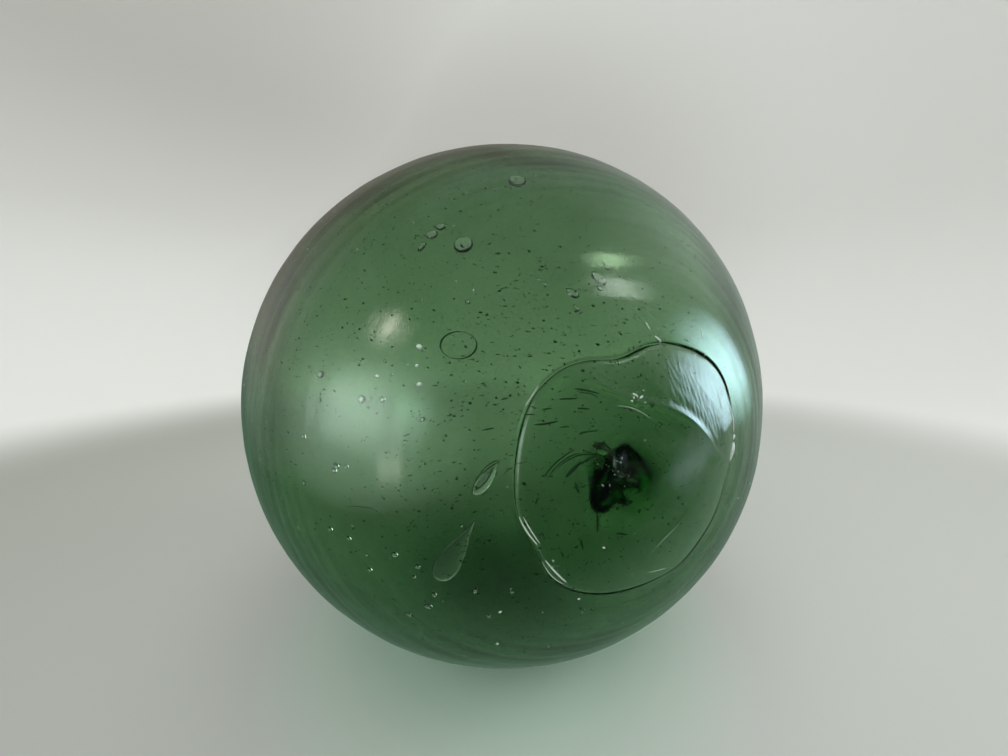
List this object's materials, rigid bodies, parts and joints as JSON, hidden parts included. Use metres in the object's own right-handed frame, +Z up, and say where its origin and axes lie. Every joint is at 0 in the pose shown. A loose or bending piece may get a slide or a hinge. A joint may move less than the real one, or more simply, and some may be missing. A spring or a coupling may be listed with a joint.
{
  "type": "glass float ball",
  "caption": "Blown glass fishing float: a sealed green glass ball with seeds and bubbles in the glass and a pressed sealing button, standing on a small flat spot.",
  "frame": {"origin": "middle of the small flat spot that the ball rests on", "axes": "+Z up, out of the surface that the ball stands on; -Y is the front, and the seal faces 18 degrees to the right of it"},
  "size_m": [0.1269, 0.1281, 0.1264],
  "materials": {
    "green_glass": "glossy, worn to a soft sheen by sand and sea"
  },
  "bodies": {
    "root": {"glass_float": "green_glass"}
  },
  "joints": []
}
